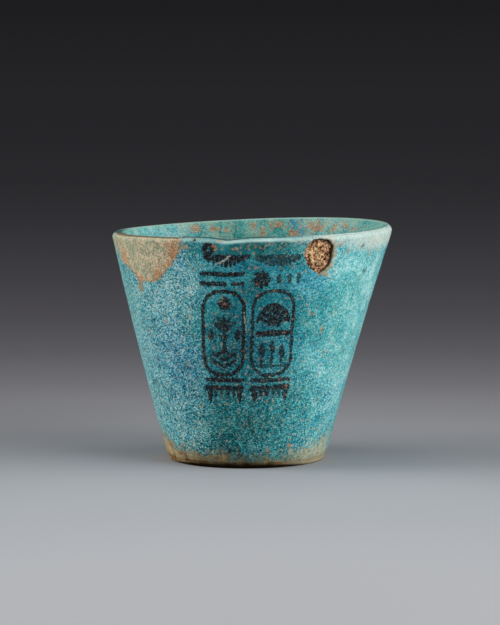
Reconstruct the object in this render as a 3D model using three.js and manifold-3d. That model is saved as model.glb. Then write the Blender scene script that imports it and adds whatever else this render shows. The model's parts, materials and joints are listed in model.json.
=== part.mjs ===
// A small turquoise faience cup: a quartz-paste core under a thick glassy glaze,
// a filled chip in the rim on the left, and a round scar on the right that a coarse crust plugs.
// Millimetres, +Z up. The foot's underside lies on z = 0 and the painted side faces -Y.
// An azimuth is measured from the painted side, and grows towards +X.

import * as THREE from 'three';
import { mergeVertices } from 'three/addons/utils/BufferGeometryUtils.js';
import Module from 'manifold-3d';

const wasm = await Module();
wasm.setup();

// The cone of the cup, out to the glaze's surface
const RIM_RADIUS = 45;
const CUP_HEIGHT = 73.8;
const FOOT_RADIUS = 25.2;
const FOOT_ROUND = 1.5;
const WALL_AT_RIM = 3.8;
const WALL_AT_FOOT = 5.2;
const FLOOR_THICKNESS = 7;
const FLOOR_ROUND = 6;
const LIP_BEVEL_DROP = 1.1;
const LIP_TOP_WIDTH = 2.3;
const LIP_OUTER_ROUND = 1.4;
const LIP_INNER_ROUND = 0.9;

// How far the hand-made cup strays from a true cone
const LEAN = 1.7;
const LEAN_POWER = 2.35;
const RIM_RISE_RIGHT = 1.15;
const RIM_RISE_BACK = 0.42;
const RIM_TWIST = 0.38;
const LIP_SAG = 0.8;
const LIP_SAG_WIDTH = 4.6;
const LIP_SAG_POWER = 12;
const LIP_SAG_AZIMUTH = THREE.MathUtils.degToRad(-9.5);

// The glaze, which stops short of the foot and leaves a bare band of core there
const GLAZE_THICKNESS = 0.45;
const GLAZE_SEAT = 0.1;
const BARE_FOOT = 2;

// The chip in the rim: each point is a share of its width across and of its depth down
const CHIP_AZIMUTH = THREE.MathUtils.degToRad(-52.3);
const CHIP_WIDTH = 36.5;
const CHIP_DROP = 14.6;
const CHIP_OUTLINE_SHARES = [
  [-0.5, 0], [-0.46, 0.27], [-0.415, 0.6], [-0.29, 0.68], [-0.155, 0.84], [-0.1, 0.98], [0.02, 1],
  [0.15, 0.98], [0.245, 0.86], [0.315, 0.73], [0.385, 0.61], [0.445, 0.41], [0.48, 0.2], [0.5, 0],
];

// The round scar beside the rim: its radius at even steps round it, as shares of the largest
const SCAR_AZIMUTH = THREE.MathUtils.degToRad(29.2);
const SCAR_BELOW_RIM = 6.2;
const SCAR_RADIUS = 5.8;
const SCAR_DEPTH = 2.2;
const SCAR_RADIUS_SHARES = [1, 0.97, 0.92, 0.93, 0.95, 0.96, 1, 0.95, 0.92, 0.98, 0.92, 0.96];

// The crust in the scar: a low bed with coarse grains standing on it
const CRUST_BED = 0.9;
const GRAIN_RADIUS = 1.5;
const GRAIN_SINK = 0.25;
const GRAIN_UNEVEN = 0.3;
const GRAIN_UNEVEN_SHARES = [0.2, 1, 0.5];
const GRAIN_COUNT = 11;

// Clearance round a piece let into a cut, and how far a cut runs past what it cuts
const CUT_GAP = 0.3;
const OVERRUN = 2;

// How finely round and straight stretches are divided
const TURN_STEPS = 72;
const ROUND_STEPS = 3;
const ROW_LENGTH = 19;
const CHIP_STEP = 2.5;
const GOLDEN_ANGLE = Math.PI * (3 - Math.sqrt(5));

const outerSlope = (RIM_RADIUS - FOOT_RADIUS) / CUP_HEIGHT;
const innerFootRadius = FOOT_RADIUS - WALL_AT_FOOT;
const innerSlope = (RIM_RADIUS - WALL_AT_RIM - innerFootRadius) / CUP_HEIGHT;

// Radius of the wall's outside at a height, moved into the wall by a depth
function outerRadius(height, depth = 0) {
  return FOOT_RADIUS + outerSlope * height - depth * Math.hypot(1, outerSlope);
}

// Radius of the wall's inside at a height
function innerRadius(height) {
  return innerFootRadius + innerSlope * height;
}

// The directions from a corner to its neighbours, half the angle between them,
// and the side that the outline bends to: 1 round the solid, -1 round a hollow
function bendAt(corners, i) {
  const { at } = corners[i];
  const back = corners[i - 1].at.clone().sub(at).normalize();
  const ahead = corners[i + 1].at.clone().sub(at).normalize();
  const inwards = back.clone().add(ahead).normalize();
  return { back, inwards, half: Math.acos(back.dot(ahead)) / 2, side: Math.sign(ahead.cross(back)) };
}

// An outline through corners, where each corner with a round gets an arc
function roundedOutline(corners) {
  const outline = [];
  corners.forEach(({ at, round = 0 }, i) => {
    if (round <= 0) {
      outline.push(at);
      return;
    }
    const { back, inwards, half, side } = bendAt(corners, i);
    const centre = at.clone().addScaledVector(inwards, round / Math.sin(half));
    const start = at.clone().addScaledVector(back, round / Math.tan(half)).sub(centre);
    const turn = (Math.PI - 2 * half) * side;
    for (let step = 0; step <= ROUND_STEPS; step += 1) {
      const spoke = start.clone().rotateAround(new THREE.Vector2(), (turn * step) / ROUND_STEPS);
      outline.push(centre.clone().add(spoke));
    }
  });
  return outline;
}

// The same outline with no straight stretch longer than a given length
function divided(outline, longest) {
  const points = [outline[0]];
  outline.slice(1).forEach((end, i) => {
    const start = outline[i];
    const parts = Math.ceil(start.distanceTo(end) / longest);
    for (let part = 1; part <= parts; part += 1) {
      points.push(start.clone().lerp(end, part / parts));
    }
  });
  return points;
}

// The cup's skin from a height on its outside, up to the lip's outer corner, over its bevel
// and narrow top, and down to the middle of the floor, all moved into the wall by a depth
function skinCorners(fromHeight, depth) {
  const bevelFoot = CUP_HEIGHT - LIP_BEVEL_DROP;
  const floor = FLOOR_THICKNESS;
  const corners = [
    { at: new THREE.Vector2(outerRadius(fromHeight), fromHeight) },
    { at: new THREE.Vector2(outerRadius(bevelFoot), bevelFoot), round: LIP_OUTER_ROUND },
    { at: new THREE.Vector2(innerRadius(CUP_HEIGHT) + LIP_TOP_WIDTH, CUP_HEIGHT) },
    { at: new THREE.Vector2(innerRadius(CUP_HEIGHT), CUP_HEIGHT), round: LIP_INNER_ROUND },
    { at: new THREE.Vector2(innerRadius(floor), floor), round: FLOOR_ROUND },
    { at: new THREE.Vector2(0, floor) },
  ];
  const moved = corners.slice(1, -1).map(({ at, round = 0 }, i) => {
    const { inwards, half, side } = bendAt(corners, i + 1);
    const there = at.clone().addScaledVector(inwards, (side * depth) / Math.sin(half));
    return { at: there, round: round && round - side * depth };
  });
  const start = { at: new THREE.Vector2(outerRadius(fromHeight, depth), fromHeight) };
  const end = { at: new THREE.Vector2(0, floor - depth) };
  return [start, ...moved, end];
}

// The foot: its flat underside and the round edge that the wall stands on
function footCorners() {
  return [
    { at: new THREE.Vector2(0, 0) },
    { at: new THREE.Vector2(FOOT_RADIUS, 0), round: FOOT_ROUND },
  ];
}

// A closed geometry as a solid that can be joined and cut
function toSolid(geometry) {
  geometry.deleteAttribute('normal');
  geometry.deleteAttribute('uv');
  const merged = mergeVertices(geometry);
  const corners = merged.index.array;
  const kept = [];
  for (let i = 0; i < corners.length; i += 3) {
    const [a, b, c] = corners.slice(i, i + 3);
    if (a !== b && b !== c && c !== a) kept.push(a, b, c);
  }
  const mesh = new wasm.Mesh({
    numProp: 3,
    vertProperties: new Float32Array(merged.attributes.position.array),
    triVerts: new Uint32Array(kept),
  });
  return new wasm.Manifold(mesh);
}

// A solid turned about the cup's axis
function turned(corners) {
  const outline = divided(roundedOutline(corners), ROW_LENGTH);
  return toSolid(new THREE.LatheGeometry(outline, TURN_STEPS).rotateX(Math.PI / 2));
}

// A block through the wall with the chip's outline, drawn in by an inset all round. It reaches
// out far enough that the flat facets across its curved front stay clear of the wall.
function chipBlock(inset) {
  const width = CHIP_WIDTH - 2 * inset;
  const drop = CHIP_DROP - inset;
  const front = RIM_RADIUS / Math.cos(width / 2 / RIM_RADIUS) - RIM_RADIUS + OVERRUN;
  const edge = CHIP_OUTLINE_SHARES.map(
    ([across, down]) => new THREE.Vector2(across * width, CUP_HEIGHT - down * drop),
  );
  const above = [edge.at(-1), edge[0]].map((end) => new THREE.Vector2(end.x, CUP_HEIGHT + OVERRUN));
  const outline = divided([...edge, ...above], CHIP_STEP);
  const depth = front + WALL_AT_FOOT + OVERRUN;
  const block = new THREE.ExtrudeGeometry(new THREE.Shape(outline), { depth, bevelEnabled: false });
  const points = block.attributes.position;
  for (let i = 0; i < points.count; i += 1) {
    const azimuth = CHIP_AZIMUTH + points.getX(i) / RIM_RADIUS;
    const height = points.getY(i);
    const radius = outerRadius(height) + front - depth + points.getZ(i);
    points.setXYZ(i, radius * Math.sin(azimuth), -radius * Math.cos(azimuth), height);
  }
  return toSolid(block);
}

// The scar's place on the wall: x along the wall to the right, y up it, z straight out of it
function scarPlace() {
  const height = CUP_HEIGHT - SCAR_BELOW_RIM;
  return new THREE.Matrix4()
    .makeRotationZ(SCAR_AZIMUTH)
    .multiply(new THREE.Matrix4().makeTranslation(0, -outerRadius(height), height))
    .multiply(new THREE.Matrix4().makeRotationX(Math.PI / 2 + Math.atan(outerSlope)));
}

// A block with the scar's outline between two levels, counted outwards from the wall's surface
function scarBlock(inset, low, high) {
  const outline = SCAR_RADIUS_SHARES.map((share, i) => {
    const turn = (2 * Math.PI * i) / SCAR_RADIUS_SHARES.length;
    const reach = SCAR_RADIUS * share - inset;
    return new THREE.Vector2(reach * Math.cos(turn), reach * Math.sin(turn));
  });
  const block = new THREE.ExtrudeGeometry(new THREE.Shape(outline), {
    depth: high - low,
    bevelEnabled: false,
  });
  return toSolid(block.translate(0, 0, low).applyMatrix4(scarPlace()));
}

// One coarse grain of the crust; the grains are spread over the scar in a sunflower spiral
function grain(index) {
  const reach = SCAR_RADIUS * Math.sqrt((index + 0.5) / GRAIN_COUNT) - CUT_GAP;
  const turn = GOLDEN_ANGLE * index;
  const unevenShare = GRAIN_UNEVEN_SHARES[index % GRAIN_UNEVEN_SHARES.length];
  const shape = new THREE.IcosahedronGeometry(GRAIN_RADIUS).rotateX(turn).rotateY(turn);
  const depth = GRAIN_RADIUS + GRAIN_SINK + GRAIN_UNEVEN * unevenShare;
  shape.translate(reach * Math.cos(turn), reach * Math.sin(turn), -depth);
  return toSolid(shape.applyMatrix4(scarPlace()));
}

// Carries a point of the true cone to its place on the hand-made cup
function handmade(point) {
  const azimuth = Math.atan2(point.x, -point.y);
  const fromSag = (azimuth - LIP_SAG_AZIMUTH) * (RIM_RADIUS / LIP_SAG_WIDTH);
  const share = Math.max(point.z / CUP_HEIGHT, 0);
  const tilt = (RIM_RISE_RIGHT * point.x + RIM_RISE_BACK * point.y) / RIM_RADIUS;
  const twist = (RIM_TWIST * 2 * point.x * point.y) / RIM_RADIUS ** 2;
  const sag = LIP_SAG * share ** LIP_SAG_POWER * Math.exp(-(fromSag ** 2));
  const height = point.z + (tilt + twist) * share - sag;
  const spread = outerRadius(height) / outerRadius(point.z);
  const shift = LEAN * Math.max(height / CUP_HEIGHT, 0) ** LEAN_POWER;
  point.set(point.x * spread + shift, point.y * spread, height);
}

// A finished solid as a named mesh of the hand-made cup
function piece(name, solid, material) {
  const { vertProperties, triVerts } = solid.getMesh();
  const geometry = new THREE.BufferGeometry();
  geometry.setAttribute('position', new THREE.BufferAttribute(new Float32Array(vertProperties), 3));
  geometry.setIndex(new THREE.BufferAttribute(new Uint32Array(triVerts), 1));
  const points = geometry.attributes.position;
  const point = new THREE.Vector3();
  for (let i = 0; i < points.count; i += 1) {
    handmade(point.fromBufferAttribute(points, i));
    points.setXYZ(i, point.x, point.y, point.z);
  }
  geometry.computeVertexNormals();
  const mesh = new THREE.Mesh(geometry, new THREE.MeshStandardMaterial(material));
  mesh.name = name;
  return mesh;
}

// The cup before it was damaged, core and glaze together
function wholeCup() {
  return turned([...footCorners(), ...skinCorners(BARE_FOOT, 0)]);
}

// Takes the chip and the scar out of whatever lies there
function cutLosses(solid) {
  return solid.subtract(chipBlock(0)).subtract(scarBlock(0, -SCAR_DEPTH, OVERRUN));
}

// The core: floor and wall of quartz paste, drawn in where the glaze covers it
function faienceCore() {
  const ledge = BARE_FOOT - GLAZE_SEAT;
  const bareWallTop = { at: new THREE.Vector2(outerRadius(ledge), ledge) };
  const covered = skinCorners(ledge, GLAZE_THICKNESS + GLAZE_SEAT);
  const solid = cutLosses(turned([...footCorners(), bareWallTop, ...covered]));
  return piece('faience_core', solid, { color: '#a98d66', roughness: 0.9, metalness: 0 });
}

// The glaze: one coat up the outside, over the lip and down over the floor
function glazeCoat() {
  const underside = skinCorners(BARE_FOOT, GLAZE_THICKNESS).reverse();
  const solid = cutLosses(turned([...underside, ...skinCorners(BARE_FOOT, 0)]));
  return piece('glaze_coat', solid, { color: '#3d949e', roughness: 0.45, metalness: 0 });
}

// The fill: the whole thickness of the wall and lip, set into the chip
function rimFill() {
  const solid = wholeCup().intersect(chipBlock(CUT_GAP));
  return piece('rim_fill', solid, { color: '#a59a76', roughness: 0.85, metalness: 0 });
}

// The crust: bed and grains together, no wider than the scar and no prouder than the lip
function scarCrust() {
  const bottom = CUT_GAP - SCAR_DEPTH;
  let crust = scarBlock(CUT_GAP, bottom, bottom + CRUST_BED);
  for (let index = 0; index < GRAIN_COUNT; index += 1) {
    crust = crust.add(grain(index));
  }
  const solid = crust.intersect(scarBlock(CUT_GAP, bottom, OVERRUN)).intersect(wholeCup());
  return piece('scar_crust', solid, { color: '#7c5a3d', roughness: 0.95, metalness: 0 });
}

const cup = new THREE.Group();
cup.add(faienceCore(), glazeCoat(), rimFill(), scarCrust());

export default cup;
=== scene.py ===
"""A small turquoise faience cup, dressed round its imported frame: the quartz-paste core, the weathered
glaze with its painted panel, the fill in the chipped rim and the crust in the round scar."""

import json
import math

import bmesh
import bpy
import numpy as np
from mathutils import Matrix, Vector, noise

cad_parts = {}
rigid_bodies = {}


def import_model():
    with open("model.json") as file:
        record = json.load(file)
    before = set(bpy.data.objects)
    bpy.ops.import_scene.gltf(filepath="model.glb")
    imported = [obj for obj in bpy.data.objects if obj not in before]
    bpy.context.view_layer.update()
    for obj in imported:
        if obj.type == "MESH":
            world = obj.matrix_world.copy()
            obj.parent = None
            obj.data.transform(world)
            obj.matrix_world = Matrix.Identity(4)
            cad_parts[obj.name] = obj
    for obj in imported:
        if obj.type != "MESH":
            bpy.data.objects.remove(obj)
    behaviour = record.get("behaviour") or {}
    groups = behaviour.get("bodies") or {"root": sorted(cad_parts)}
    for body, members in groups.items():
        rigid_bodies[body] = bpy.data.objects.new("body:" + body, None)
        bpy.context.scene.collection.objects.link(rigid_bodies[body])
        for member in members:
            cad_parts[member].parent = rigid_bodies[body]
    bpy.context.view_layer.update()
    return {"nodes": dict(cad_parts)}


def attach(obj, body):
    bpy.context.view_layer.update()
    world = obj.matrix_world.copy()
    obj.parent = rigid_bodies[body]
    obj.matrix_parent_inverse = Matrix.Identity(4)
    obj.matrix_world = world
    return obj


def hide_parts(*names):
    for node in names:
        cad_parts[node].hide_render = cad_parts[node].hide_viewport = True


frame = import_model()

# The core
# The cup's body: ground quartz wetted to a stiff paste, shaped by hand over a form and fired hard.
# It is bare at the foot and underneath, and in the sides of the two losses. Sizes are in millimetres.

MM = 0.001
RIM_RADIUS = 45.0
CUP_HEIGHT = 73.8
FOOT_RADIUS = 25.2
FOOT_ROUND = 1.5
WALL_AT_RIM = 3.8
WALL_AT_FOOT = 5.2
FLOOR_THICKNESS = 7.0
FLOOR_ROUND = 6.0
LIP_BEVEL_DROP = 1.1
LIP_TOP_WIDTH = 2.3
LIP_OUTER_ROUND = 1.4
LIP_INNER_ROUND = 0.9
BARE_FOOT = 2.0
GLAZE_THICKNESS = 0.45
GLAZE_SEAT = 0.03
FINE_ANGLES = (-28.0, 38.0)
TURN_STEPS = (132.0, 190.0)
ARC_STEPS = 6
SHARP_EDGE = math.radians(38)
WELDED_GAP = 1e-7
LIP_BLEND = 0.8

OUTER_SLOPE = (RIM_RADIUS - FOOT_RADIUS) / CUP_HEIGHT
INNER_FOOT = FOOT_RADIUS - WALL_AT_FOOT
INNER_SLOPE = (RIM_RADIUS - WALL_AT_RIM - INNER_FOOT) / CUP_HEIGHT


def outer_radius(height, depth=0.0):
    return FOOT_RADIUS + OUTER_SLOPE * height - depth * math.hypot(1, OUTER_SLOPE)


def inner_radius(height):
    return INNER_FOOT + INNER_SLOPE * height


def bend(corners, i):
    """The directions from a corner to its neighbours, half the angle between them, and its side."""
    at, before, after = (np.array(corners[k][:2], float) for k in (i, i - 1, i + 1))
    back = (before - at) / np.linalg.norm(before - at)
    ahead = (after - at) / np.linalg.norm(after - at)
    inwards = (back + ahead) / np.linalg.norm(back + ahead)
    side = math.copysign(1, ahead[0] * back[1] - ahead[1] * back[0])
    return back, inwards, math.acos(back @ ahead) / 2, side


def outline(corners):
    """Points through corners (radius, height, round, longest row up to it), with an arc at each round."""
    points = [np.array(corners[0][:2], float)]
    for i, (radius, height, curve, row) in enumerate(corners):
        if i == 0:
            continue
        target = np.array((radius, height), float)
        if curve:
            back, inwards, half, side = bend(corners, i)
            centre = target + inwards * curve / math.sin(half)
            target = target + back * curve / math.tan(half)
        start = points[-1]
        parts = max(1, math.ceil(np.linalg.norm(target - start) / row))
        points += [start + (target - start) * k / parts for k in range(1, parts + 1)]
        if curve:
            spoke = complex(*(target - centre))
            for k in range(1, ARC_STEPS + 1):
                turn = (math.pi - 2 * half) * side * k / ARC_STEPS
                turned_spoke = spoke * complex(math.cos(turn), math.sin(turn))
                points.append(centre + (turned_spoke.real, turned_spoke.imag))
    return points


def skin(from_height, depth, rows):
    """The cup's skin from a height on its outside, over the lip and down to the middle of the floor,
    moved into the wall by a depth. The rows are the longest ones on the wall, lip, inside and floor."""
    bevel = CUP_HEIGHT - LIP_BEVEL_DROP
    corners = [
        (outer_radius(from_height), from_height, 0, 1),
        (outer_radius(bevel), bevel, LIP_OUTER_ROUND, rows[0]),
        (inner_radius(CUP_HEIGHT) + LIP_TOP_WIDTH, CUP_HEIGHT, 0, rows[1]),
        (inner_radius(CUP_HEIGHT), CUP_HEIGHT, LIP_INNER_ROUND, rows[1]),
        (inner_radius(FLOOR_THICKNESS), FLOOR_THICKNESS, FLOOR_ROUND, rows[2]),
        (0, FLOOR_THICKNESS, 0, rows[3]),
    ]
    moved = [(outer_radius(from_height, depth), from_height, 0, 1)]
    for i in range(1, len(corners) - 1):
        _, inwards, half, side = bend(corners, i)
        radius, height, curve, row = corners[i]
        shift = inwards * side * depth / math.sin(half)
        moved.append((radius + shift[0], height + shift[1], curve and curve - side * depth, row))
    return moved + [(0, FLOOR_THICKNESS - depth, 0, rows[3])]


def srgb(code):
    """A hex colour as linear red, green and blue, with full alpha."""
    parts = [int(code[k : k + 2], 16) / 255 for k in (1, 3, 5)]
    return [c / 12.92 if c <= 0.04045 else ((c + 0.055) / 1.055) ** 2.4 for c in parts] + [1.0]


def feed(tree, node, inputs):
    """Fills a node's inputs, listed in order or named. Each is a value, a hex colour, or the socket
    that it is linked to."""
    for name, value in inputs.items() if isinstance(inputs, dict) else enumerate(inputs):
        if isinstance(value, bpy.types.NodeSocket):
            tree.links.new(value, node.inputs[name])
        else:
            node.inputs[name].default_value = srgb(value) if isinstance(value, str) else value


def add(tree, kind, inputs=(), settings={}, out=0):
    """Adds a node with its inputs and its settings, colour stops among them. A word alone is its
    operation. Gives the output named or counted by out."""
    node = tree.nodes.new(kind)
    if isinstance(settings, str):
        settings = {"operation": settings}
    for name, value in settings.items():
        if name == "stops":
            stops = node.color_ramp.elements
            for _ in range(len(value) - len(stops)):
                stops.new(0.5)
            for stop, (place, colour) in zip(stops, value):
                stop.position = place
                stop.color = srgb(colour)
        else:
            setattr(node, name, value)
    feed(tree, node, inputs)
    return node.outputs[out] if len(node.outputs) else node


def new_tree(name, inputs, result):
    """A geometry tree with inputs of the named kinds, and those inputs' sockets."""
    tree = bpy.data.node_groups.new(name, "GeometryNodeTree")
    for label, kind in inputs.items():
        tree.interface.new_socket(label, in_out="INPUT", socket_type="NodeSocket" + kind)
    tree.interface.new_socket(result, in_out="OUTPUT", socket_type="NodeSocketGeometry")
    return tree, add(tree, "NodeGroupInput").node.outputs


MATH = "ShaderNodeMath"
MAP = "ShaderNodeMapRange"
MIX = "ShaderNodeMix"
COLOUR = {"data_type": "RGBA"}
VECTOR = {"data_type": "FLOAT_VECTOR"}

# One tree turns an outline about the cup's axis, with finer steps over one stretch of azimuth
turning, given = new_tree("turned on the cup's axis", {
    "Outline": "Geometry", "Fine From": "Float", "Fine To": "Float", "Fine Steps": "Float",
    "Coarse Steps": "Float", "Finish": "Material",
}, "Turned")
rows = add(turning, "GeometryNodeAttributeDomainSize", [given["Outline"]], {"component": "MESH"})
steps = add(turning, MATH, [given["Fine Steps"], given["Coarse Steps"]])
columns = add(turning, MATH, [steps, 1.0])
grid = add(turning, "GeometryNodeMeshGrid", {"Vertices X": columns, "Vertices Y": rows})
index = add(turning, "GeometryNodeInputIndex")
share = add(turning, MATH, [index, rows], "DIVIDE")
row = add(turning, MATH, [index, rows], "MODULO")
column = add(turning, MATH, [share], "FLOOR")
place = add(turning, "GeometryNodeInputPosition")
at_row = {0: given["Outline"], "Value": place, "Index": row}
sampled = add(turning, "GeometryNodeSampleIndex", at_row, VECTOR)
fine = [given[name] for name in ("Fine Steps", "Fine From", "Fine To")]
fine_angle = add(turning, MAP, [column, 0.0, *fine])
once_round = add(turning, MATH, [given["Fine From"], 360.0])
coarse_angle = add(turning, MAP, [column, given["Fine Steps"], steps, given["Fine To"], once_round])
is_coarse = add(turning, MATH, [column, given["Fine Steps"]], "GREATER_THAN")
degrees = add(turning, MIX, {0: is_coarse, 2: fine_angle, 3: coarse_angle})
angle = add(turning, MATH, [degrees], "RADIANS")
sine = add(turning, MATH, [angle], "SINE")
cosine = add(turning, MATH, [angle], "COSINE")
flat = add(turning, "ShaderNodeSeparateXYZ", [sampled]).node.outputs
across = add(turning, MATH, [flat["X"], sine], "MULTIPLY")
towards = add(turning, MATH, [flat["X"], cosine], "MULTIPLY")
behind = add(turning, MATH, [towards, -1.0], "MULTIPLY")
spot = add(turning, "ShaderNodeCombineXYZ", [across, behind, flat["Z"]])
turned_grid = add(turning, "GeometryNodeSetPosition", {"Geometry": grid, "Position": spot})
closed = add(turning, "GeometryNodeMergeByDistance", {"Geometry": turned_grid, "Distance": 1e-6})
real = add(turning, "GeometryNodeRealizeInstances", [closed])
finished = add(turning, "GeometryNodeSetMaterial", {0: real, "Material": given["Finish"]})
add(turning, "NodeGroupOutput", [finished])


def made_of(name, points, sides=(), edges=()):
    """A new object from points in millimetres."""
    mesh = bpy.data.meshes.new(name)
    mesh.from_pydata([tuple(float(v) * MM for v in p) for p in points], edges, sides)
    made = bpy.data.objects.new(name, mesh)
    bpy.context.scene.collection.objects.link(made)
    return made


def plain(piece):
    """Turns a piece's modifiers into a plain closed mesh whose faces point outwards. The faces that a
    cut adds take the piece's one finish."""
    graph = bpy.context.evaluated_depsgraph_get()
    shape = bpy.data.meshes.new_from_object(piece.evaluated_get(graph), depsgraph=graph)
    piece.modifiers.clear()
    piece.data = shape
    work = bmesh.new()
    work.from_mesh(shape)
    bmesh.ops.remove_doubles(work, verts=work.verts, dist=WELDED_GAP)
    bmesh.ops.dissolve_degenerate(work, edges=work.edges, dist=WELDED_GAP)
    bmesh.ops.recalc_face_normals(work, faces=work.faces)
    work.to_mesh(shape)
    work.free()
    finishes = [finish for finish in shape.materials if finish]
    shape.materials.clear()
    for finish in finishes[:1]:
        shape.materials.append(finish)
    return piece


def with_tree(piece, tree, values):
    """Runs a tree on a piece with the named values."""
    modifier = piece.modifiers.new(tree.name, "NODES")
    modifier.node_group = tree
    for socket in tree.interface.items_tree:
        if socket.in_out == "INPUT" and socket.name in values:
            modifier[socket.identifier] = values[socket.name]
    return plain(piece)


def turned(name, points, angles, steps, finish):
    """A piece turned from an outline of points (radius, height), in fine steps between two azimuths
    and coarse steps over the rest."""
    edges = [(k, k + 1) for k in range(len(points) - 1)]
    line = made_of(name, [(r, 0, z) for r, z in points], edges=edges)
    labels = ("Fine From", "Fine To", "Fine Steps", "Coarse Steps", "Finish")
    return with_tree(line, turning, dict(zip(labels, (*angles, *steps, finish))))


def cut(piece, block, operation="DIFFERENCE"):
    """Cuts a block from a piece, or with INTERSECT keeps only what both share."""
    modifier = piece.modifiers.new("cut", "BOOLEAN")
    modifier.operation = operation
    modifier.solver = "MANIFOLD"
    modifier.object = block
    return plain(piece)


def points_of(piece):
    found = np.empty(len(piece.data.vertices) * 3)
    piece.data.vertices.foreach_get("co", found)
    return found.reshape(-1, 3) / MM


def unit(values):
    """The values, held between 0 and 1."""
    return np.clip(values, 0, 1)


def bell(values, middle, reach):
    """1 where the values are at the middle, falling softly to 0 on both sides."""
    return np.exp(-(((values - middle) / reach) ** 2))


def waves(points, length, octaves, seed):
    """Soft random waves of a given length at each point, from about -1 to 1."""
    shift = Vector((seed * 17.3, seed * 5.1, seed * 29.7))
    return np.array([noise.fractal(Vector(p) / length + shift, 1.0, 2.0, octaves) for p in points])


# How far the hand-made cup strays from a true cone
LEAN = 1.7
LEAN_POWER = 2.35
RIM_RISE_RIGHT = 1.15
RIM_RISE_BACK = 0.42
RIM_TWIST = 0.38
LIP_SAG = 0.8
LIP_SAG_WIDTH = 4.6
LIP_SAG_POWER = 12
LIP_SAG_AZIMUTH = math.radians(-9.5)


def azimuth_of(points):
    return np.arctan2(points[:, 0], -points[:, 1])


def handmade(points):
    """Carries points of the true cone to their places on the hand-made cup."""
    x, y, z = points.T
    along = np.clip(z / CUP_HEIGHT, 0, None)
    tilt = (RIM_RISE_RIGHT * x + RIM_RISE_BACK * y) / RIM_RADIUS
    twist = RIM_TWIST * 2 * x * y / RIM_RADIUS**2
    from_sag = (azimuth_of(points) - LIP_SAG_AZIMUTH) * RIM_RADIUS / LIP_SAG_WIDTH
    sag = LIP_SAG * along**LIP_SAG_POWER * np.exp(-(from_sag**2))
    height = z + (tilt + twist) * along - sag
    spread = outer_radius(height) / outer_radius(z)
    shift = LEAN * np.clip(height / CUP_HEIGHT, 0, None) ** LEAN_POWER
    return np.stack([x * spread + shift, y * spread, height], 1)


def insideness(points):
    """0 on the cup's outside, 1 on its inside, and between them over the lip."""
    radius = np.hypot(points[:, 0], points[:, 1])
    middle = (outer_radius(points[:, 2]) + inner_radius(points[:, 2])) / 2
    inside = unit((middle - radius) / LIP_BLEND + 0.5)
    return inside * (points[:, 2] > FLOOR_THICKNESS / 2)


# The wall isn't quite even: hand-smoothed swells, small dimples, and glaze that sank in as it dried
# (each by its depth, length, octaves and seed), then the wear of the lip, the foot and the right side
UNEVENNESS = [(0.11, 13.0, 2, 1.0), (0.06, 3.6, 2, 2.0), (0.03, 1.3, 1, 3.0)]
LIP_WEAR = 0.03
FOOT_WEAR = 1.0
RIGHT_WEAR = 0.45


def uneven(points, extra=0.0):
    """Sinks the surface a little by soft waves; extra is a further depth at each point."""
    depth = 0.0
    for sunk, length, octaves, seed in UNEVENNESS:
        depth += sunk * (waves(points, length, octaves, seed) * 0.5 + 0.5)
    depth += extra
    inside = insideness(points)
    turn = np.degrees(azimuth_of(points))
    drop = CUP_HEIGHT - points[:, 2]
    right_end = unit((turn - 50) / 25) * unit((135 - turn) / 25)
    depth += RIGHT_WEAR * right_end * unit(1 - drop / 2.6) * (1 - inside)
    foot_ends = 0.25 + 0.75 * unit((np.abs(turn + 5) - 28) / 25)
    depth += FOOT_WEAR * unit(1 - points[:, 2] / 4.5) ** 2 * foot_ends * (1 - inside)
    out = points * (1, 1, 0)
    out /= np.maximum(np.linalg.norm(out, axis=1, keepdims=True), 1e-6)
    on_floor = unit(1.5 - np.abs(points[:, 2] - FLOOR_THICKNESS)) * inside
    away = out * (1 - 2 * inside)[:, None] * (1 - on_floor)[:, None]
    away[:, 2] += on_floor
    above_ground = unit(points[:, 2])
    sunk = points - away * (depth * above_ground)[:, None]
    sunk[:, 2] -= LIP_WEAR * unit((points[:, 2] - CUP_HEIGHT) / LIP_BEVEL_DROP + 1)
    return sunk


def set_points(piece, points):
    piece.data.vertices.foreach_set("co", (points * MM).ravel())
    piece.data.update()
    piece.data.shade_smooth()
    piece.data.set_sharp_from_angle(angle=SHARP_EDGE)


def write(piece, values):
    """Writes named values on a piece's points, for its finish to read."""
    for name, value in values.items():
        layer = piece.data.attributes.new(name, "FLOAT", "POINT")
        layer.data.foreach_set("value", np.asarray(value, np.float32))


# The chip in the rim, and the round scar: their outlines as shares, and how raggedly they broke
CHIP_AZIMUTH = math.radians(-52.3)
CHIP_WIDTH = 36.5
CHIP_DROP = 14.6
CHIP_OUTLINE_SHARES = [
    (-0.5, 0), (-0.46, 0.27), (-0.415, 0.6), (-0.29, 0.68), (-0.155, 0.84), (-0.1, 0.98), (0.02, 1),
    (0.15, 0.98), (0.245, 0.86), (0.315, 0.73), (0.385, 0.61), (0.445, 0.41), (0.48, 0.2), (0.5, 0),
]
SCAR_AZIMUTH = math.radians(29.2)
SCAR_BELOW_RIM = 6.2
SCAR_RADIUS = 5.8
SCAR_DEPTH = 2.2
SCAR_OUTLINE_SHARES = [
    (-0.92, -0.02), (-0.73, -0.45), (-0.25, -0.87), (0.16, -1.06), (0.45, -0.87), (0.7, -0.58),
    (0.74, -0.19), (0.72, 0.48), (0.42, 0.78), (-0.04, 0.92), (-0.56, 0.9), (-0.83, 0.68), (-0.97, 0.37),
]
OVERRUN = 2.0
RAGGED = 0.22
RAGGED_STEP = 0.35


def inwards_of(points):
    """The direction into a closed outline at each of its points."""
    along = np.roll(points, -1, 0) - np.roll(points, 1, 0)
    along /= np.linalg.norm(along, axis=1, keepdims=True)
    return np.column_stack([-along[:, 1], along[:, 0]])


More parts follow.
